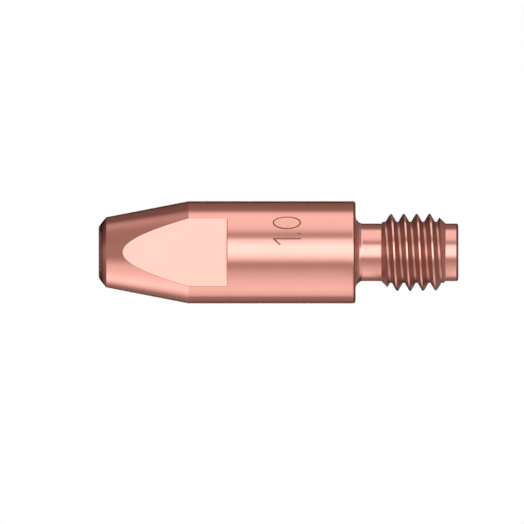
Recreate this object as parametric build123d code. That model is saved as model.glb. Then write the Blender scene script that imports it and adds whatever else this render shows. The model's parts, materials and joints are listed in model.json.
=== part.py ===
from build123d import *
from math import ceil, hypot, radians, tan
import os

# Welding contact tip with a metric shank, turned from one piece of copper.
# The origin is the centre of the threaded end's face and +Z runs along the tip to its nose.
# The two wrench flats face +Y and -Y. Sizes are in millimetres and angles in degrees.

# Body and nose
overall_length = 28.0
body_diameter = 8.0
body_edge_radius = 0.25  # on the body's rear edge, at the shoulder
taper_length = 7.0  # from the nose face back to the straight body
nose_bevel_diameter = 5.5  # where the taper ends and the nose bevel begins
nose_bevel_length = 0.6
nose_bevel_crown = 0.05  # how far the two legs of the crowned bevel meet outside a straight one
nose_bevel_arc_share = 0.8  # how much of the two legs the arc between them takes
nose_face_diameter = 3.9
nose_face_radius = 0.2  # between the nose bevel and the nose face

# Wrench flats, milled across the nose end
across_flats = 6.0
flats_length = 10.0  # from the nose face back to the end wall of each flat

# Shank, from its rear face to the shoulder: pilot, thread, neck
shank_length = 8.0
pilot_diameter = 4.5
pilot_length = 1.0
pilot_edge_radius = 0.2
neck_diameter = 4.5
neck_length = 2.0
neck_fillet = 0.6  # in the corner between the neck and the shoulder

# Right-hand metric thread: flat crests and roots, given as shares of the pitch
thread_diameter = 6.0
thread_pitch = 1.0
thread_angle = 60.0
crest_share = 1 / 8
root_share = 1 / 6
thread_chamfer_angle = 45.0  # at both ends of the thread, from the axis
groove_start_angle = 180.0  # where the groove begins, counted from +X
groove_run_out = 0.75  # how far the groove runs on past each end of the thread, in pitches

# Bore, from the wide mouth in the shank to the close-fitting wire hole in the nose
mouth_diameter = 3.0
mouth_angle = 90.0
lead_in_diameter = 2.0
lead_in_length = 8.0  # from the rear face to the start of the funnel
funnel_angle = 60.0
wire_bore_diameter = 1.2
wire_bore_edge = 0.1  # 45 degree break at the nose


def cone_length(wide_diameter, narrow_diameter, angle_from_axis):
    """Length along the axis of a cone between two diameters."""
    return (wide_diameter - narrow_diameter) / 2 / tan(radians(angle_from_axis))


def nose_crown():
    """The corner between the nose bevel's two legs, with the arc that rounds off most of it."""
    run = (nose_bevel_diameter - nose_face_diameter) / 2
    half = hypot(run, nose_bevel_length) / 2
    leg = hypot(half, nose_bevel_crown)
    middle_radius = (nose_bevel_diameter + nose_face_diameter) / 4
    crown_radius = middle_radius + nose_bevel_crown * nose_bevel_length / (2 * half)
    height = overall_length - nose_bevel_length / 2 + nose_bevel_crown * run / (2 * half)
    whole_arc = leg * half / nose_bevel_crown
    return crown_radius, height, nose_bevel_arc_share * whole_arc


def outside_points():
    """The outside of the half section, from rear to nose: (radius, height, corner radius)."""
    pilot_radius = pilot_diameter / 2
    thread_radius = thread_diameter / 2
    neck_radius = neck_diameter / 2
    body_radius = body_diameter / 2
    thread_front = shank_length - neck_length
    rear_chamfer = cone_length(thread_diameter, pilot_diameter, thread_chamfer_angle)
    front_chamfer = cone_length(thread_diameter, neck_diameter, thread_chamfer_angle)
    return [
        (pilot_radius, 0, pilot_edge_radius),
        (pilot_radius, pilot_length, 0),
        (thread_radius, pilot_length + rear_chamfer, 0),
        (thread_radius, thread_front - front_chamfer, 0),
        (neck_radius, thread_front, 0),
        (neck_radius, shank_length, neck_fillet),
        (body_radius, shank_length, body_edge_radius),
        (body_radius, overall_length - taper_length, 0),
        (nose_bevel_diameter / 2, overall_length - nose_bevel_length, 0),
        nose_crown(),
        (nose_face_diameter / 2, overall_length, nose_face_radius),
    ]


def bore_points():
    """The wall of the bore, from nose to rear: (radius, height, corner radius)."""
    wire_radius = wire_bore_diameter / 2
    lead_in_radius = lead_in_diameter / 2
    funnel_length = cone_length(lead_in_diameter, wire_bore_diameter, funnel_angle / 2)
    mouth_length = cone_length(mouth_diameter, lead_in_diameter, mouth_angle / 2)
    return [
        (wire_radius + wire_bore_edge, overall_length, 0),
        (wire_radius, overall_length - wire_bore_edge, 0),
        (wire_radius, lead_in_length + funnel_length, 0),
        (lead_in_radius, lead_in_length, 0),
        (lead_in_radius, mouth_length, 0),
        (mouth_diameter / 2, 0, 0),
    ]


def turned_blank():
    """The tip as turned and drilled, with a plain cylinder where the thread goes."""
    corners = outside_points() + bore_points()
    points = [(radius, height) for radius, height, _ in corners]
    corner_radii = [corner for _, _, corner in corners]
    section = make_face(Plane.XZ * FilletPolyline(*points, radius=corner_radii, close=True))
    return revolve(section, axis=Axis.Z)


def thread_length():
    """What the pilot and the neck leave of the shank, with the thread's chamfered ends."""
    return shank_length - neck_length - pilot_length


def thread_stock():
    """The plain rod between pilot and neck that the thread is cut into."""
    base = (Align.CENTER, Align.CENTER, Align.MIN)
    return Pos(0, 0, pilot_length) * Cylinder(thread_diameter / 2, thread_length(), align=base)


def groove_turn():
    """One turn of the V groove that leaves the thread, at the foot of its helix."""
    half_angle = radians(thread_angle / 2)
    crest_flat = thread_pitch * crest_share
    root_flat = thread_pitch * root_share
    depth = (thread_pitch - crest_flat - root_flat) / 2 / tan(half_angle)
    root_radius = thread_diameter / 2 - depth
    # The groove stands out past the crests by half of what would make its turns meet.
    overcut = crest_flat / 4 / tan(half_angle)
    outer_radius = thread_diameter / 2 + overcut
    outer_half_width = (thread_pitch - crest_flat) / 2 + overcut * tan(half_angle)
    profile = Polyline(
        (root_radius, -root_flat / 2),
        (outer_radius, -outer_half_width),
        (outer_radius, outer_half_width),
        (root_radius, root_flat / 2),
        close=True,
    )
    helix = Helix(thread_pitch, thread_pitch, root_radius)
    return sweep(make_face(Plane.XZ * profile), path=helix, is_frenet=True)


def thread_groove():
    """The whole groove, turn on turn, which begins and ends clear of the thread's stock."""
    turn = Rot(0, 0, groove_start_angle) * groove_turn()
    start = pilot_length - groove_run_out * thread_pitch
    turns = ceil(thread_length() / thread_pitch + 2 * groove_run_out)
    return [Pos(0, 0, start + count * thread_pitch) * turn for count in range(turns)]


def flat_cutters():
    """The stock that comes off each side of the nose to leave the wrench flats."""
    cut_depth = body_diameter / 2
    middle = overall_length - flats_length / 2
    cutter = Box(body_diameter, cut_depth, flats_length)
    return [Pos(0, side * (across_flats + cut_depth) / 2, middle) * cutter for side in (1, -1)]


def contact_tip():
    """The whole tip: turned and drilled, its shank threaded and its nose milled."""
    blank = turned_blank()
    stock = thread_stock()
    thread = blank & (stock - thread_groove())
    tip = blank - stock + thread - flat_cutters()
    return tip.solid()


os.makedirs("parts", exist_ok=True)
export_step(contact_tip(), "parts/contact_tip.step")
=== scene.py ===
"""Dresses the contact tip: its copper, its cut edges and its engraved wire size, in a plain studio."""

import json
import math

import bmesh
import bpy
from bpy.props import FloatProperty, FloatVectorProperty, IntProperty, PointerProperty
from mathutils import Matrix, Vector


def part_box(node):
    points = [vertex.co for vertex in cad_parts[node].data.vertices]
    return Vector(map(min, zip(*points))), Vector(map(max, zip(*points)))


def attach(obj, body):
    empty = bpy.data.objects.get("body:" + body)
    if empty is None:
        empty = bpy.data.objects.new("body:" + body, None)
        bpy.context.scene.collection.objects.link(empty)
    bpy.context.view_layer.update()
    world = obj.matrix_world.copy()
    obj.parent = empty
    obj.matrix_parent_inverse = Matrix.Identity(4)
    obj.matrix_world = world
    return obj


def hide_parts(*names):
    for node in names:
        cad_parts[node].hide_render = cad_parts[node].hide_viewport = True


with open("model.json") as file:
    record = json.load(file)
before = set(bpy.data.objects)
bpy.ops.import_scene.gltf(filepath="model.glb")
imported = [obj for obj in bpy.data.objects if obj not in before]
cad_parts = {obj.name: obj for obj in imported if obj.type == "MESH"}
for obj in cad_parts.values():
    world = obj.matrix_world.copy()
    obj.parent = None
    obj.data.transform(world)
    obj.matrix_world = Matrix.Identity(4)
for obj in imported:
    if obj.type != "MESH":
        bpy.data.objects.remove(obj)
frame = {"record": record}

bl_info = {
    "name": "Welding Contact Tip",
    "version": (1, 0, 0),
    "blender": (4, 5, 0),
    "location": "View3D > Sidebar > Contact Tip",
    "description": "Turns, mills, threads and engraves a copper contact tip, and sets a studio round it",
    "category": "Mesh",
}

MM = 0.001
HAIR = 0.01 * MM  # the least that tells two surfaces apart
SAME = 0.0002 * MM  # points that lie closer than this are one

# How finely the curves are divided
ARC_STEP = 0.04 * MM  # along the arcs of the section
LEAST_ARC_STEPS = 4
BREAK_STEPS = 3  # over the round of a milled edge
STROKE_STEPS = 8
NOUGHT_STEPS = 48
GRAVER_FACETS = 12  # round the graver's point
GRAVER_LEANS = tuple(math.radians(lean) for lean in (25, 50, 75))  # of the rings on a stroke's round end
CARD_STEP = 4  # degrees between the corners of a card
FLOOR_FACETS = 96

# The form of the thread and of the bore
FLANK_ANGLE = math.radians(30)  # of each flank, from square to the axis
CRESTS_PER_PITCH = 8  # a crest's flat is an eighth of the pitch
ROOTS_PER_PITCH = 6  # a root's flat is a sixth of it
RUN_OUT = 0.75  # how far the groove runs on past each end of the thread, in pitches
FUNNEL_ANGLE = math.radians(30)  # between the bore's funnel and the axis
BORE_BREAK = 0.1 * MM  # 45 degree break of the bore at the nose
SHARP = math.radians(9)  # the least bend of a milled edge that is broken

# The form of 1.0, as shares of a digit's width and height
STEM_PLACE = 0.42  # across the 1
FLAG_FOOT = 0.76
DOT_FOOT = 0.01
DOT_TOP = 0.09

# A face's slope is how much of its normal runs along the axis: 0 on a cylinder and 1 on an end face
# Most of these slopes bound the faces that carry painted shade or the painted highlight
CHAMFER_SLOPES = (0.6, 0.78)
CREST_SLOPE = 0.5  # at most
END_ROUND_SLOPES = (0.1, 0.99)
NOSE_ROUND_SLOPES = (0.84, 0.99)
FILLET_SLOPE = 0.5  # at least
RIM_SLOPE = 0.3  # at least
SHOULDER_SLOPE = 0.85  # at least
FLAT_FACING = 0.999  # how squarely a milled flat faces Y, at least

# How the copper varies
TURNED_FEED = 0.12 * MM  # between the rings that the tool left
MILLED_FEED = 0.2 * MM
FINE_FEED = 0.05 * MM
PATCH = 4 * MM  # the size of a patch that has toned
PATCH_NOISE = (0.45, 0.85)  # the noise where a patch begins and where it is strongest
PATCH_STRENGTH = 0.5
POLISH = (0.85, 1.15)  # how far the rings take the roughness down and up

# The tip's finishes, in the order of its material slots; crest carries a painted highlight, and cut,
# corner, edge and engraved carry painted shade
TURNED, MILLED, CREST_PAINTED_HIGHLIGHT, CUT_PAINTED_SHADE, CORNER_PAINTED_SHADE, EDGE_PAINTED_SHADE, ENGRAVED_PAINTED_SHADE = range(7)

# What the frame already knows about the tip
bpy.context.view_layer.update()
TIP_NODE = "contact_tip"
TIP_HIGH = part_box(TIP_NODE)[1]
MOUNTS = {mount["name"]: mount for mount in frame["record"]["mounts"]}


def mount_height(name):
    """How high a mount lies on the tip, from its threaded end."""
    return MOUNTS[name]["pos_m"][2]


def mount_size(name, key):
    """A size of a mount, in metres."""
    return MOUNTS[name]["dims"][key] * MM


def length(name, description, default):
    """A length in metres, shown in the scene's units."""
    return FloatProperty(
        name=name, description=description, default=default, min=0.0, unit="LENGTH", precision=6
    )


def angle(name, description, degrees):
    """An angle, kept in radians and shown in degrees."""
    return FloatProperty(
        name=name, description=description, default=math.radians(degrees), unit="ROTATION"
    )


def factor(name, description, default, most=1.0):
    """A plain number from 0 up to most."""
    return FloatProperty(name=name, description=description, default=default, min=0.0, max=most)


def colour(name, description, default):
    """A linear colour."""
    return FloatVectorProperty(
        name=name, description=description, default=default, size=3, min=0.0, max=1.0, subtype="COLOR"
    )


class TipSizes(bpy.types.PropertyGroup):
    """Sizes of the turned and milled piece."""

    body_diameter: length("Body diameter", "Straight part of the body", 2 * TIP_HIGH.x)
    overall_length: length("Overall length", "From the threaded end to the nose face", TIP_HIGH.z)
    shank_length: length(
        "Shank length", "From the threaded end to the shoulder", mount_height("shoulder_seat")
    )
    across_flats: length(
        "Across flats", "Between the two wrench flats", 2 * MOUNTS["wrench_flat_back"]["pos_m"][1]
    )
    flats_length: length("Flats length", "From the nose face to the end wall of a flat", 10 * MM)
    taper_length: length("Taper length", "From the nose face to the straight body", 7 * MM)
    nose_bevel_diameter: length("Nose bevel diameter", "Where the taper meets the nose bevel", 5.5 * MM)
    nose_bevel_length: length("Nose bevel length", "Along the axis", 0.6 * MM)
    nose_bevel_crown: length(
        "Nose bevel crown", "How far its two legs meet outside a straight bevel", 0.05 * MM
    )
    nose_bevel_arc_share: factor(
        "Nose bevel arc share", "How much of the two legs the arc between them takes", 0.8
    )
    nose_face_diameter: length("Nose face diameter", "Flat end of the nose", 3.9 * MM)
    nose_face_radius: length(
        "Nose face radius", "Round between the nose bevel and the nose face", 0.2 * MM
    )
    core_diameter: length("Core diameter", "Pilot and neck of the shank", 4.5 * MM)
    pilot_length: length("Pilot length", "Plain end of the shank", mount_height("shank_thread"))
    neck_fillet: length("Neck fillet", "Radius between the neck and the shoulder", 0.6 * MM)
    rim_radius: length("Rim radius", "Round on the shoulder's rim", 0.25 * MM)
    edge_radius: length("Edge radius", "Round on the shank's end", 0.2 * MM)
    edge_break: length("Edge break", "Tiny round that every other cut edge has", 0.03 * MM)
    thread_diameter: length("Thread diameter", "Over the crests", 2 * mount_size("shank_thread", "r_mm"))
    thread_length: length(
        "Thread length", "With its chamfered ends", mount_size("shank_thread", "length_mm")
    )
    thread_pitch: length("Thread pitch", "From crest to crest", 1 * MM)
    thread_start: angle("Thread start", "Where the groove begins, counted from +X", 180)
    wire_bore: length("Wire bore", "Hole for the wire in the nose", 2 * mount_size("wire_bore", "r_mm"))
    lead_in_bore: length("Lead-in bore", "Wider hole behind it", 2 * mount_size("lead_in_bore", "r_mm"))
    lead_in_depth: length("Lead-in depth", "From the threaded end to the funnel", 8 * MM)
    mouth_depth: length("Mouth depth", "Countersink of the lead-in bore", mount_height("lead_in_bore"))
    segments: IntProperty(name="Segments", description="Facets round the axis", default=256, min=32)


class MarkSizes(bpy.types.PropertyGroup):
    """The wire size that is scratched into the body."""

    digit_height: length("Digit height", "Along the tip's axis", 2.1 * MM)
    digit_width: length("Digit width", "Round the body", 1.1 * MM)
    digit_gap: length("Digit gap", "Between neighbouring digits", 0.42 * MM)
    stroke: length("Stroke", "Diameter of the graver's point", 0.12 * MM)
    depth: length("Depth", "How deep the point goes in", 0.05 * MM)
    height: length("Height", "Foot of the digits, from the threaded end", 12.3 * MM)
    turn: angle("Turn", "Middle of the digits, counted from -Y towards +X", 26)


class CopperLook(bpy.types.PropertyGroup):
    """Colour and polish of the copper, with painted shade and a painted highlight in some of its
    colours.
    """

    turned: colour("Turned copper", "Clean copper as it comes off the lathe", (0.94, 0.452, 0.38))
    milled: colour("Milled copper", "The two wrench flats", (0.94, 0.435, 0.365))
    # Painted highlight: the crests' copper is lighter than the turned copper so that they glint brighter
    crest: colour("Crest copper", "Thread's crests, pressed bright by the die", (0.95, 0.52, 0.45))
    # Painted shade in the thread's grooves: its darker colour is painted shade, while its duller
    # roughness is the cut's own
    cut: colour("Cut copper", "Duller copper on the thread's flanks and roots", (0.62, 0.345, 0.29))
    # Painted shade: darker copper in the concave fillet and on the shoulder's face under the body
    corner: colour("Corner copper", "The neck's fillet and the shoulder", (0.7, 0.41, 0.365))
    # Painted shade: a dark outline on the rounded edges of the two ends and of the shoulder's rim
    edge: colour(
        "Edge copper", "Rounded edges of the two ends and of the shoulder's rim", (0.32, 0.14, 0.11)
    )
    # Painted shade inside the graver's strokes
    engraved: colour("Engraved copper", "Floor of the graver's strokes", (0.42, 0.2, 0.16))
    toned: colour(
        "Toned share",
        "What each colour keeps where the copper has toned a little",
        (0.936, 0.885, 0.868),
    )
    turned_roughness: factor("Turned roughness", "Of everything cut on the lathe", 0.19)
    milled_roughness: factor("Milled roughness", "Of the two wrench flats", 0.22)
    cut_roughness: factor("Cut roughness", "Of the thread, the neck's fillet and the shoulder", 0.34)
    dull_roughness: factor("Dull roughness", "Of the rounded edges and the graver's strokes", 0.5)
    ring_depth: length("Ring depth", "Depth of the lathe's feed marks", 0.0004 * MM)


class StudioSetup(bpy.types.PropertyGroup):
    """Camera, floor and reflection cards."""

    pixels_per_mm: factor("Pixels per millimetre", "Scale of the picture", 12.85, 100.0)
    picture_width: factor("Picture width", "In pixels", 524.0, 10000.0)
    view_height: length("View height", "Height on the tip at the picture's middle", 15.285 * MM)
    view_side: length("View side", "How far the axis lies above the picture's middle", 0.755 * MM)
    camera_distance: length("Camera distance", "From the axis", 0.3)
    floor_radius: length("Floor radius", "Size of the pale floor", 0.6)
    card_distance: length("Card distance", "From the tip to the reflection cards", 1.0)
    shank_card_distance: length("Shank card distance", "From the shank to the card beside it", 10 * MM)
    floor_colour: colour("Floor", "Pale floor", (0.86, 0.86, 0.86))


def corner_arc(before, corner, after, radius):
    """The points of an arc that rounds a corner, with more of them on a longer one."""
    to_before = (before - corner).normalized()
    to_after = (after - corner).normalized()
    half = to_before.angle(to_after) / 2
    centre = corner + (to_before + to_after).normalized() * radius / math.sin(half)
    start = corner + to_before * radius / math.tan(half) - centre
    end = corner + to_after * radius / math.tan(half) - centre
    sweep = start.angle_signed(end)
    steps = LEAST_ARC_STEPS + round(abs(sweep) * radius / ARC_STEP)
    return [centre + Matrix.Rotation(-sweep * step / steps, 2) @ start for step in range(steps + 1)]


def rounded(corners):
    """A closed outline with its corners rounded, from (radius, height, corner radius)."""
    places = [Vector((radius, height)) for radius, height, _ in corners]
    outline = []
    for index, (radius, height, rounding) in enumerate(corners):
        if rounding:
            after = places[(index + 1) % len(places)]
            outline += corner_arc(places[index - 1], places[index], after, rounding)
        else:
            outline.append(places[index])
    return outline


def nose_crown(sizes):
    """The corner between the nose bevel's two legs, with the arc that rounds off most of it."""
    run = (sizes.nose_bevel_diameter - sizes.nose_face_diameter) / 2
    half = math.hypot(run, sizes.nose_bevel_length) / 2
    middle = (sizes.nose_bevel_diameter + sizes.nose_face_diameter) / 4
    outward = sizes.nose_bevel_crown / (2 * half)
    radius = middle + outward * sizes.nose_bevel_length
    height = sizes.overall_length - sizes.nose_bevel_length / 2 + outward * run
    whole_arc = math.hypot(half, sizes.nose_bevel_crown) * half / sizes.nose_bevel_crown
    return radius, height, sizes.nose_bevel_arc_share * whole_arc


def half_section(sizes):
    """Half of the tip's section as turned and drilled, up the outside and back down the bore."""
    core = sizes.core_diameter / 2
    thread = sizes.thread_diameter / 2
    body = sizes.body_diameter / 2
    wire = sizes.wire_bore / 2
    lead_in = sizes.lead_in_bore / 2
    nose = sizes.overall_length
    chamfer = thread - core
    thread_end = sizes.pilot_length + sizes.thread_length
    funnel = (lead_in - wire) / math.tan(FUNNEL_ANGLE)
    broken = sizes.edge_break
    return [
        (core, 0, sizes.edge_radius),
        (core, sizes.pilot_length, broken),
        (thread, sizes.pilot_length + chamfer, broken),
        (thread, thread_end - chamfer, broken),
        (core, thread_end, broken),
        (core, sizes.shank_length, sizes.neck_fillet),
        (body, sizes.shank_length, sizes.rim_radius),
        (body, nose - sizes.taper_length, 0),
        (sizes.nose_bevel_diameter / 2, nose - sizes.nose_bevel_length, broken),
        nose_crown(sizes),
        (sizes.nose_face_diameter / 2, nose, sizes.nose_face_radius),
        (wire + BORE_BREAK, nose, broken),
        (wire, nose - BORE_BREAK, broken),
        (wire, sizes.lead_in_depth + funnel, 0),
        (lead_in, sizes.lead_in_depth, 0),
        (lead_in, sizes.mouth_depth, broken),
        (lead_in + sizes.mouth_depth, 0, broken),
    ]


def mesh_of(name, shape):
    """The mesh of a bmesh, which is let go."""
    mesh = bpy.data.meshes.new(name)
    shape.to_mesh(mesh)
    shape.free()
    return mesh


def mesh_of_rings(name, rings, closed):
    """A mesh through rings of points, each joined to the next, and if closed the last to the first."""
    shape = bmesh.new()
    made = [[shape.verts.new(point) for point in ring] for ring in rings]
    count = len(rings[0])
    pairs = list(zip(made, made[1:]))
    if closed:
        pairs.append((made[-1], made[0]))
    else:
        shape.faces.new(made[0])
        shape.faces.new(made[-1])
    for one, other in pairs:
        for index in range(count):
            following = (index + 1) % count
            shape.faces.new((one[index], one[following], other[following], other[index]))
    bmesh.ops.recalc_face_normals(shape, faces=shape.faces)
    return mesh_of(name, shape)


def new_object(name, mesh):
    """An object for a mesh, in the scene."""
    made = bpy.data.objects.new(name, mesh)
    bpy.context.scene.collection.objects.link(made)
    return made


def ring_at(outline, turn, rise=0):
    """An outline of (radius, height) at one turn about the axis, raised along it."""
    return [(r * math.cos(turn), r * math.sin(turn), z + rise) for r, z in outline]


def lathe(name, outline, segments):
    """An outline of (radius, height) turned about the axis."""
    rings = [ring_at(outline, 2 * math.pi * segment / segments) for segment in range(segments)]
    return new_object(name, mesh_of_rings(name, rings, closed=True))


def thread_groove(sizes):
    """The V groove of the thread, as one closed coil that begins and ends clear of the metal."""
    pitch = sizes.thread_pitch
    slope = math.tan(FLANK_ANGLE)
    crest_flat = pitch / CRESTS_PER_PITCH
    root_flat = pitch / ROOTS_PER_PITCH
    crest = sizes.thread_diameter / 2
    root = crest - (pitch - crest_flat - root_flat) / 2 / slope
    # It stands out past the crests, where its turns are still half a crest's flat apart.
    outside = crest + crest_flat / 4 / slope
    outer_half = (pitch - crest_flat / 2) / 2
    section = rounded([
        (outside, -outer_half, 0),
        (outside, outer_half, 0),
        (root, root_flat / 2, sizes.edge_break),
        (root, -root_flat / 2, sizes.edge_break),
    ])
    run_out = RUN_OUT * pitch
    start = sizes.pilot_length - run_out
    steps = round((sizes.thread_length + 2 * run_out) / pitch * sizes.segments)
    rings = []
    for step in range(steps + 1):
        # Half a facet on, so that its edges stay clear of the metal's
        turns = (step + 0.5) / sizes.segments
        rings.append(ring_at(section, sizes.thread_start + 2 * math.pi * turns, start + pitch * turns))
    return new_object("thread groove", mesh_of_rings("thread groove", rings, closed=False))


def flat_cutters(sizes):
    """The stock that is milled off each side of the nose, and some air past it."""
    depth = sizes.body_diameter / 2
    high = 2 * sizes.flats_length
    middle = sizes.overall_length - sizes.flats_length + high / 2
    shape = bmesh.new()
    for side in (-1, 1):
        place = Matrix.Translation((0, side * (sizes.across_flats + depth) / 2, middle))
        stretch = Matrix.Diagonal((2 * sizes.body_diameter, depth, high, 1))
        bmesh.ops.create_cube(shape, size=1, matrix=place @ stretch)
    return new_object("flat cutters", mesh_of("flat cutters", shape))


def settle(piece):
    """Make a piece's modifiers part of its mesh."""
    graph = bpy.context.evaluated_depsgraph_get()
    settled = bpy.data.meshes.new_from_object(piece.evaluated_get(graph))
    old = piece.data
    piece.modifiers.clear()
    piece.data = settled
    bpy.data.meshes.remove(old)


def cut(piece, cutter):
    """Cut one object's shape out of a piece, and drop the cutter."""
    step = piece.modifiers.new("cut", "BOOLEAN")
    step.operation = "DIFFERENCE"
    step.solver = "EXACT"
    step.object = cutter
    settle(piece)
    bpy.data.objects.remove(cutter)


def weld(piece):
    """Join the few points that the cuts left almost on each other."""
    shape = bmesh.new()
    shape.from_mesh(piece.data)
    bmesh.ops.remove_doubles(shape, verts=shape.verts, dist=SAME)
    bmesh.ops.dissolve_degenerate(shape, edges=shape.edges, dist=SAME)
    shape.to_mesh(piece.data)
    shape.free()


def break_flat_edges(piece, sizes):
    """Round off the edges that the milling cutter left round the two flats."""
    plane = sizes.across_flats / 2
    wall = sizes.overall_length - sizes.flats_length
    shape = bmesh.new()
    shape.from_mesh(piece.data)
    weight = shape.edges.layers.float.new("bevel_weight_edge")
    for edge in shape.edges:
        milled = all(abs(vert.co.y) > plane - HAIR for vert in edge.verts)
        beyond_wall = all(vert.co.z > wall - HAIR for vert in edge.verts)
        if milled and beyond_wall and edge.is_manifold and edge.calc_face_angle() > SHARP:
            edge[weight] = 1
    shape.to_mesh(piece.data)
    shape.free()
    step = piece.modifiers.new("break", "BEVEL")
    step.limit_method = "WEIGHT"
    step.width = sizes.edge_break
    step.segments = BREAK_STEPS
    step.use_clamp_overlap = False
    settle(piece)


def straight_stroke(start, end):
    """The points of one straight stroke."""
    return [
        tuple(a + (b - a) * step / STROKE_STEPS for a, b in zip(start, end))
        for step in range(STROKE_STEPS + 1)
    ]


def digit_strokes(mark):
    """The graver's strokes for 1.0 in a flat plane: a list of (points, closed)."""
    width = mark.digit_width
    height = mark.digit_height
    stem_at = STEM_PLACE * width
    dot_at = stem_at + mark.digit_gap
    middle = dot_at + mark.digit_gap + width / 2
    total = middle + width / 2
    flag = straight_stroke((0, FLAG_FOOT * height), (stem_at, height))
    stem = straight_stroke((stem_at, height), (stem_at, 0))
    dot = straight_stroke((dot_at, DOT_FOOT * height), (dot_at, DOT_TOP * height))
    turns = [2 * math.pi * step / NOUGHT_STEPS for step in range(NOUGHT_STEPS)]
    nought = [(middle + width / 2 * math.cos(turn), height / 2 * (1 + math.sin(turn))) for turn in turns]
    strokes = ((flag, False), (stem, False), (dot, False), (nought, True))
    return [([(across - total / 2, up) for across, up in points], closed) for points, closed in strokes]


def tube_ring(place, along, radius):
    """A ring of points round a place on the body, square to the way along."""
    out = Vector((place.x, place.y, 0)).normalized()
    out = (out - out.dot(along) * along).normalized()
    aside = along.cross(out)
    turns = [2 * math.pi * facet / GRAVER_FACETS for facet in range(GRAVER_FACETS)]
    return [place + radius * (math.cos(turn) * out + math.sin(turn) * aside) for turn in turns]


def graver_stroke(points, closed, mark, sizes):
    """The graver's round point as a tube that follows one stroke round the body."""
    body = sizes.body_diameter / 2
    radius = mark.stroke / 2
    reach = body + radius - mark.depth
    spine = []
    for across, up in points:
        turn = mark.turn + across / body
        spine.append(Vector((reach * math.sin(turn), -reach * math.cos(turn), mark.height + up)))
    last = len(spine) - 1
    ways = []
    for index in range(last + 1):
        before = spine[index - 1] if closed or index > 0 else spine[0]
        after = spine[(index + 1) % len(spine)] if closed or index < last else spine[last]
        ways.append((after - before).normalized())
    rings = [tube_ring(place, way, radius) for place, way in zip(spine, ways)]
    if not closed:
        for lean in GRAVER_LEANS:
            past = radius * math.sin(lean)
            girth = radius * math.cos(lean)
            rings.insert(0, tube_ring(spine[0] - ways[0] * past, ways[0], girth))
            rings.append(tube_ring(spine[last] + ways[last] * past, ways[last], girth))
    return new_object("graver stroke", mesh_of_rings("graver stroke", rings, closed))


def bare_material(name):
    """A material with nothing but its output, and that output."""
    material = bpy.data.materials.new(name)
    material.use_nodes = True
    nodes = material.node_tree.nodes
    nodes.clear()
    return material, nodes.new("ShaderNodeOutputMaterial")


def copper(name, look, metal, roughness, feed):
    """Copper in two close tones, with fine rings round the axis that the tool left."""
    toned = [channel * kept for channel, kept in zip(metal, look.toned)]
    material, output = bare_material(name)
    nodes = material.node_tree.nodes
    links = material.node_tree.links
    shader = nodes.new("ShaderNodeBsdfPrincipled")
    shader.inputs["Metallic"].default_value = 1.0
    links.new(shader.outputs["BSDF"], output.inputs["Surface"])
    place = nodes.new("ShaderNodeTexCoord")
    stretch = nodes.new("ShaderNodeMapping")
    stretch.inputs["Scale"].default_value = (0, 0, 1 / feed)
    links.new(place.outputs["Object"], stretch.inputs["Vector"])
    rings = nodes.new("ShaderNodeTexNoise")
    rings.inputs["Scale"].default_value = 1.0
    rings.inputs["Detail"].default_value = 3.0
    links.new(stretch.outputs["Vector"], rings.inputs["Vector"])
    blotches = nodes.new("ShaderNodeTexNoise")
    blotches.inputs["Scale"].default_value = 1 / PATCH
    blotches.inputs["Detail"].default_value = 4.0
    links.new(place.outputs["Object"], blotches.inputs["Vector"])
    tone = nodes.new("ShaderNodeMapRange")
    faint, strong = PATCH_NOISE
    tone.inputs["From Min"].default_value = faint
    tone.inputs["From Max"].default_value = strong
    tone.inputs["To Max"].default_value = PATCH_STRENGTH
    links.new(blotches.outputs["Fac"], tone.inputs["Value"])
    blend = nodes.new("ShaderNodeMix")
    blend.data_type = "RGBA"
    blend.inputs["A"].default_value = (*metal, 1)
    blend.inputs["B"].default_value = (*toned, 1)
    links.new(tone.outputs["Result"], blend.inputs["Factor"])
    links.new(blend.outputs["Result"], shader.inputs["Base Color"])
    polish = nodes.new("ShaderNodeMapRange")
    smoothest, dullest = POLISH
    polish.inputs["To Min"].default_value = roughness * smoothest
    polish.inputs["To Max"].default_value = roughness * dullest
    links.new(rings.outputs["Fac"], polish.inputs["Value"])
    links.new(polish.outputs["Result"], shader.inputs["Roughness"])
    bump = nodes.new("ShaderNodeBump")
    bump.inputs["Strength"].default_value = 1.0
    bump.inputs["Distance"].default_value = look.ring_depth
    links.new(rings.outputs["Fac"], bump.inputs["Height"])
    links.new(bump.outputs["Normal"], shader.inputs["Normal"])
    return material


def within(value, limits):
    """Whether a value lies between two limits."""
    low, high = limits
    return low < value < high


def thread_finish(radius, height, slope, sizes):
    """Which finish a face between the pilot and the neck has."""
    rear_half = height < sizes.pilot_length + sizes.thread_length / 2
    # The rear chamfer keeps the turned copper; the front chamfer takes the cut copper's painted shade
    if rear_half and within(slope, CHAMFER_SLOPES):
        return TURNED
    # The crests get the painted highlight; the flanks, the roots and the front chamfer get the cut
    # copper's painted shade
    return CREST_PAINTED_HIGHLIGHT if radius > sizes.thread_diameter / 2 - HAIR and slope < CREST_SLOPE else CUT_PAINTED_SHADE


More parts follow.
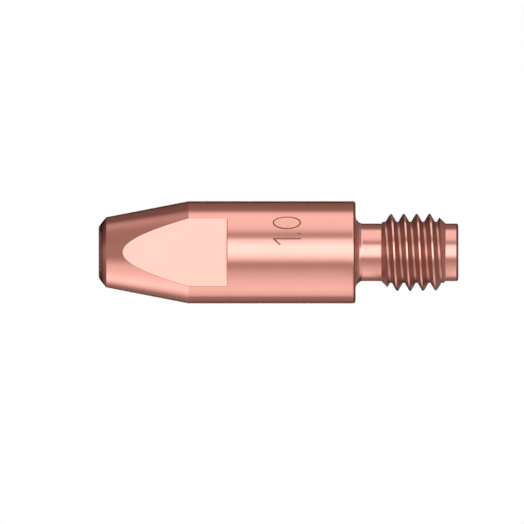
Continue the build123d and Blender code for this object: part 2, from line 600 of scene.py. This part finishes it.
def finish_of(face, sizes):
    """Which finish a face of the tip has, from its place and from how far it leans towards the axis."""
    radius = math.hypot(face.center.x, face.center.y)
    height = face.center.z
    slope = abs(face.normal.z)
    wall = sizes.overall_length - sizes.flats_length
    if height > wall and abs(face.normal.y) > FLAT_FACING:
        return MILLED
    if radius < sizes.lead_in_bore / 2 + sizes.mouth_depth:
        return TURNED
    if height < sizes.edge_radius:
        # The round on the shank's end carries the edges' painted shade
        return EDGE_PAINTED_SHADE if within(slope, END_ROUND_SLOPES) else TURNED
    if height < sizes.pilot_length:
        return TURNED
    if height < sizes.pilot_length + sizes.thread_length:
        return thread_finish(radius, height, slope, sizes)
    if height < sizes.shank_length + HAIR:
        # The neck's fillet carries painted shade
        return CORNER_PAINTED_SHADE if slope > FILLET_SLOPE else TURNED
    if height < sizes.shank_length + sizes.rim_radius:
        # The shoulder's face carries painted shade, and its rim's round gets the edges' painted shade
        if slope > SHOULDER_SLOPE:
            return CORNER_PAINTED_SHADE
        return EDGE_PAINTED_SHADE if slope > RIM_SLOPE else TURNED
    if height < wall:
        # The floors of the graver's strokes carry painted shade
        return ENGRAVED_PAINTED_SHADE if radius < sizes.body_diameter / 2 - HAIR else TURNED
    # The round between the nose bevel and the nose face carries the edges' painted shade
    on_bevel_front = height > sizes.overall_length - sizes.nose_bevel_length / 2
    return EDGE_PAINTED_SHADE if on_bevel_front and within(slope, NOSE_ROUND_SLOPES) else TURNED


def assign_finishes(piece, sizes, finishes):
    """Give the piece its finishes, and each face its own."""
    for finish in finishes:
        piece.data.materials.append(finish)
    for face in piece.data.polygons:
        face.material_index = finish_of(face, sizes)


def turned_normals(piece):
    """Shade each face as part of a surface that runs evenly round the axis, and the flats as planes."""
    mesh = piece.data
    normals = [None] * len(mesh.loops)
    for face in mesh.polygons:
        middle = face.center
        round_angle = math.atan2(middle.y, middle.x)
        for corner in face.loop_indices:
            place = mesh.vertices[mesh.loops[corner].vertex_index].co
            onward = math.atan2(place.y, place.x) - round_angle
            if face.material_index == MILLED:
                onward = 0
            normals[corner] = Matrix.Rotation(onward, 3, "Z") @ face.normal
    mesh.polygons.foreach_set("use_smooth", [True] * len(mesh.polygons))
    mesh.normals_split_custom_set(normals)


class CONTACTTIP_OT_make_tip(bpy.types.Operator):
    """Turn, mill, thread and engrave the copper tip"""

    bl_idname = "contact_tip.make_tip"
    bl_label = "Make the tip"

    def execute(self, context):
        sizes = context.scene.tip_sizes
        mark = context.scene.tip_mark
        look = context.scene.tip_copper
        piece = lathe("turned_tip", rounded(half_section(sizes)), sizes.segments)
        cut(piece, flat_cutters(sizes))
        break_flat_edges(piece, sizes)
        cut(piece, thread_groove(sizes))
        for points, closed in digit_strokes(mark):
            cut(piece, graver_stroke(points, closed, mark, sizes))
        weld(piece)
        # Crest copper paints a highlight; cut, corner, edge and engraved copper paint shade in their
        # darker colours
        finishes = (
            copper("turned copper", look, look.turned, look.turned_roughness, TURNED_FEED),
            copper("milled copper", look, look.milled, look.milled_roughness, MILLED_FEED),
            copper("crest copper", look, look.crest, look.turned_roughness, FINE_FEED),
            copper("cut copper", look, look.cut, look.cut_roughness, FINE_FEED),
            copper("corner copper", look, look.corner, look.cut_roughness, FINE_FEED),
            copper("edge copper", look, look.edge, look.dull_roughness, FINE_FEED),
            copper("engraved copper", look, look.engraved, look.dull_roughness, FINE_FEED),
        )
        assign_finishes(piece, sizes, finishes)
        turned_normals(piece)
        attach(piece, "root")
        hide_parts(TIP_NODE)
        return {"FINISHED"}


def glow_material():
    """Unlit paper that is as bright as its mesh says, and the browner the darker it is."""
    material, output = bare_material("reflection card")
    nodes = material.node_tree.nodes
    links = material.node_tree.links
    emission = nodes.new("ShaderNodeEmission")
    links.new(emission.outputs["Emission"], output.inputs["Surface"])
    glow = nodes.new("ShaderNodeAttribute")
    glow.attribute_name = "glow"
    tint = nodes.new("ShaderNodeCombineColor")
    links.new(glow.outputs["Fac"], tint.inputs["Red"])
    for channel, steepness in (("Green", 1.2), ("Blue", 1.25)):
        darker = nodes.new("ShaderNodeMath")
        darker.operation = "POWER"
        darker.inputs[1].default_value = steepness
        links.new(glow.outputs["Fac"], darker.inputs[0])
        links.new(darker.outputs["Value"], tint.inputs[channel])
    links.new(tint.outputs["Color"], emission.inputs["Color"])
    material.cycles.emission_sampling = "NONE"
    return material


def level_at(stops, turn):
    """The brightness between the stops of a card, each of them (turn, level)."""
    for (before, low), (after, high) in zip(stops, stops[1:]):
        if turn <= after:
            return low + (high - low) * (turn - before) / (after - before)
    return stops[-1][1]


def facing_way(turn, tilt):
    """The way that metal faces when it is turned from -Y to +X and tilted up to +Z, both in degrees."""
    turn, tilt = math.radians(turn), math.radians(tilt)
    return Vector((math.sin(turn) * math.cos(tilt), -math.cos(turn) * math.cos(tilt), math.sin(tilt)))


def mirrored_way(facing):
    """The way in which metal mirrors the main view, from the way it faces."""
    to_camera = Vector((0, -1, 0))
    return 2 * facing.dot(to_camera) * facing - to_camera


def set_card(name, middle, radius, distance, material, tilts, stops):
    """A curved reflection card at a distance from round metal, laid out by the ways the metal faces."""
    first, last = stops[0][0], stops[-1][0]
    turns = {turn for turn, _ in stops} | set(range(math.ceil(first), math.floor(last), CARD_STEP))
    low, high = tilts
    rows = max(1, round((high - low) / CARD_STEP))
    shape = bmesh.new()
    glow = shape.verts.layers.float.new("glow")
    columns = []
    for turn in sorted(turns):
        column = []
        for row in range(rows + 1):
            facing = facing_way(turn, low + (high - low) * row / rows)
            corner = shape.verts.new(middle + facing * radius + mirrored_way(facing) * distance)
            corner[glow] = level_at(stops, turn)
            column.append(corner)
        columns.append(column)
    for left, right in zip(columns, columns[1:]):
        for row in range(rows):
            shape.faces.new((left[row], right[row], right[row + 1], left[row + 1]))
    mesh = mesh_of(name, shape)
    mesh.materials.append(material)
    card = new_object(name, mesh)
    card.visible_camera = False
    card.visible_diffuse = False
    card.visible_transmission = False
    card.visible_shadow = False


def set_floor(studio):
    """A round, pale, matt floor under the tip."""
    shape = bmesh.new()
    bmesh.ops.create_circle(shape, cap_ends=True, segments=FLOOR_FACETS, radius=studio.floor_radius)
    mesh = mesh_of("floor", shape)
    material = bpy.data.materials.new("pale floor")
    material.use_nodes = True
    shader = material.node_tree.nodes["Principled BSDF"]
    shader.inputs["Base Color"].default_value = (*studio.floor_colour, 1)
    shader.inputs["Roughness"].default_value = 1.0
    mesh.materials.append(material)
    floor = new_object("floor", mesh)
    floor.location.z = -HAIR
    floor.visible_glossy = False


def set_world():
    """An even white surrounding, which is the background too."""
    world = bpy.data.worlds.new("white surrounding")
    bpy.context.scene.world = world
    world.use_nodes = True
    background = world.node_tree.nodes["Background"]
    background.inputs["Color"].default_value = (1, 1, 1, 1)
    background.inputs["Strength"].default_value = 1.0
    world.cycles.sampling_method = "NONE"


def set_camera(studio):
    """A straight side view with the tip's axis level and its nose to the left."""
    data = bpy.data.cameras.new("camera")
    data.type = "ORTHO"
    data.ortho_scale = studio.picture_width / studio.pixels_per_mm * MM
    data.clip_start = 0.01
    data.clip_end = 10.0
    camera = new_object("camera", data)
    right, up, back = Vector((0, 0, -1)), Vector((1, 0, 0)), Vector((0, -1, 0))
    turned = Matrix((right, up, back)).transposed().to_4x4()
    place = Vector((-studio.view_side, -studio.camera_distance, studio.view_height))
    camera.matrix_world = Matrix.Translation(place) @ turned
    bpy.context.scene.camera = camera


# Each card: its name, the tilts of the metal that mirrors it, and its stops, each a (turn, level).
# Tilts and turns are in degrees, and a level of 1 is as bright as the white surrounding.
CARDS = (
    ("foot card", (-82, -42), (
        (-82, 0.06), (-72, 0.24), (-40, 0.3), (-8, 0.3), (0, 0.28), (8, 0.3), (40, 0.3), (60, 0.22),
        (72, 0.15), (82, 0.06),
    )),
    ("heel card", (-42, -31), (
        (-82, 0.06), (-70, 0.3), (-40, 0.52), (-12, 0.42), (0, 0.2), (12, 0.32), (40, 0.36),
        (70, 0.18), (82, 0.06),
    )),
    ("low card", (-31, -22), (
        (-82, 0.06), (-70, 0.32), (-40, 0.62), (-14, 0.56), (-7, 1.5), (7, 1.5), (14, 0.46),
        (40, 0.44), (70, 0.25), (82, 0.06),
    )),
    ("lower rear card", (-22, -14), (
        (-82, 0.06), (-70, 0.2), (-50, 0.42), (-12, 0.42), (-7, 1.6), (6, 1.6), (11, 0.42),
        (48, 0.42), (54, 0.3), (74, 0.15), (82, 0.06),
    )),
    ("rear card", (-14, -7), (
        (-82, 0.06), (-70, 0.3), (-60, 0.36), (-58, 1.2), (-11, 1.1), (-6, 1.9), (7, 1.9),
        (15, 1.1), (48, 1.25), (53, 0.33), (74, 0.2), (82, 0.06),
    )),
    ("straight card", (-7, 6), (
        (-82, 0.08), (-74, 0.13), (-71, 0.26), (-60, 0.33), (-57, 0.8), (-45, 1.03), (-34, 0.92),
        (-22, 0.67), (-13, 0.38), (-11, 0.6), (-5, 1.3), (1, 1.58), (7, 1.6), (13, 1.3), (17, 0.55),
        (20, 0.42), (26, 0.95), (33, 1.05), (40, 1.05), (45, 1.1), (50, 0.9), (53, 0.3), (73, 0.19),
        (75, 0.04), (82, 0.04),
    )),
    ("taper card", (6, 20), (
        (-82, 0.05), (-76, 0.08), (-74, 0.24), (-63, 0.33), (-55, 0.9), (-46, 1.32), (-33, 1.03),
        (-20, 0.87), (-14, 0.62), (-9, 0.41), (-5, 0.37), (33, 0.365), (45, 0.56), (51, 0.44),
        (54, 0.2), (73, 0.16), (75, 0.04), (82, 0.04),
    )),
    ("nose edge card", (20, 46), (
        (-82, 0.12), (-60, 0.4), (-30, 0.52), (-10, 0.46), (0, 0.42), (10, 0.4), (20, 0.34),
        (45, 0.28), (70, 0.2), (82, 0.1),
    )),
    ("lower nose card", (46, 51), (
        (-82, 0.05), (-60, 0.13), (-30, 0.17), (0, 0.35), (10, 0.28), (20, 0.14), (45, 0.08),
        (70, 0.03), (82, 0.03),
    )),
    ("upper nose card", (51, 53), (
        (-82, 0.05), (-60, 0.13), (-30, 0.17), (0, 0.23), (10, 0.2), (20, 0.14), (45, 0.08),
        (70, 0.03), (82, 0.03),
    )),
    ("nose rim card", (53, 58), (
        (-82, 0.0), (-30, 0.02), (0, 0.03), (45, 0.01), (82, 0.0),
    )),
    ("lower flank card", (58, 70), (
        (-84, 0.04), (-60, 0.08), (-40, 0.12),
    )),
    ("upper flank card", (58, 70), (
        (40, 0.12), (60, 0.08), (84, 0.04),
    )),
)


# A small dimmer card close beside the shank, which only the shank mirrors in the main view
SHANK_CARD = ((-12.3, 10.3), (
    (-84, 0.0), (-70, 0.03), (-65, 0.12), (-60, 0.28), (-52, 0.64), (-47, 0.84), (-35.5, 0.75),
    (-27, 0.62), (-17.7, 0.45), (-14.6, 0.44), (-12.5, 0.5), (-8.3, 1.07), (-4.2, 1.5),
    (-2.1, 1.53),
))


class CONTACTTIP_OT_set_stage(bpy.types.Operator):
    """Set the floor, the white surrounding, the reflection cards and the camera"""

    bl_idname = "contact_tip.set_stage"
    bl_label = "Set the stage"

    def execute(self, context):
        sizes = context.scene.tip_sizes
        studio = context.scene.tip_studio
        context.scene.view_settings.view_transform = "Standard"
        set_world()
        set_floor(studio)
        paper = glow_material()
        view_middle = Vector((0, 0, studio.view_height))
        for name, tilts, stops in CARDS:
            set_card(name, view_middle, 0, studio.card_distance, paper, tilts, stops)
        shank_middle = Vector((0, 0, sizes.shank_length / 2))
        shank_radius = (sizes.core_diameter + sizes.thread_diameter) / 4
        shank_distance = studio.shank_card_distance
        set_card("shank card", shank_middle, shank_radius, shank_distance, paper, *SHANK_CARD)
        set_camera(studio)
        return {"FINISHED"}


class CONTACTTIP_PT_panel(bpy.types.Panel):
    """The tip's operators and their settings"""

    bl_label = "Contact tip"
    bl_idname = "CONTACTTIP_PT_panel"
    bl_space_type = "VIEW_3D"
    bl_region_type = "UI"
    bl_category = "Contact Tip"

    def draw(self, context):
        self.layout.operator(CONTACTTIP_OT_make_tip.bl_idname)
        self.layout.operator(CONTACTTIP_OT_set_stage.bl_idname)
        for name in SETTINGS:
            box = self.layout.box()
            group = getattr(context.scene, name)
            for setting in group.bl_rna.properties.keys():
                if setting not in ("rna_type", "name"):
                    box.prop(group, setting)


SETTINGS = {
    "tip_sizes": TipSizes,
    "tip_mark": MarkSizes,
    "tip_copper": CopperLook,
    "tip_studio": StudioSetup,
}
CLASSES = (*SETTINGS.values(), CONTACTTIP_OT_make_tip, CONTACTTIP_OT_set_stage, CONTACTTIP_PT_panel)


def register():
    for each in CLASSES:
        bpy.utils.register_class(each)
    for name, group in SETTINGS.items():
        setattr(bpy.types.Scene, name, PointerProperty(type=group))


def unregister():
    for name in SETTINGS:
        delattr(bpy.types.Scene, name)
    for each in reversed(CLASSES):
        bpy.utils.unregister_class(each)


def main():
    register()
    bpy.ops.contact_tip.make_tip()
    bpy.ops.contact_tip.set_stage()


if __name__ == "__main__":
    main()
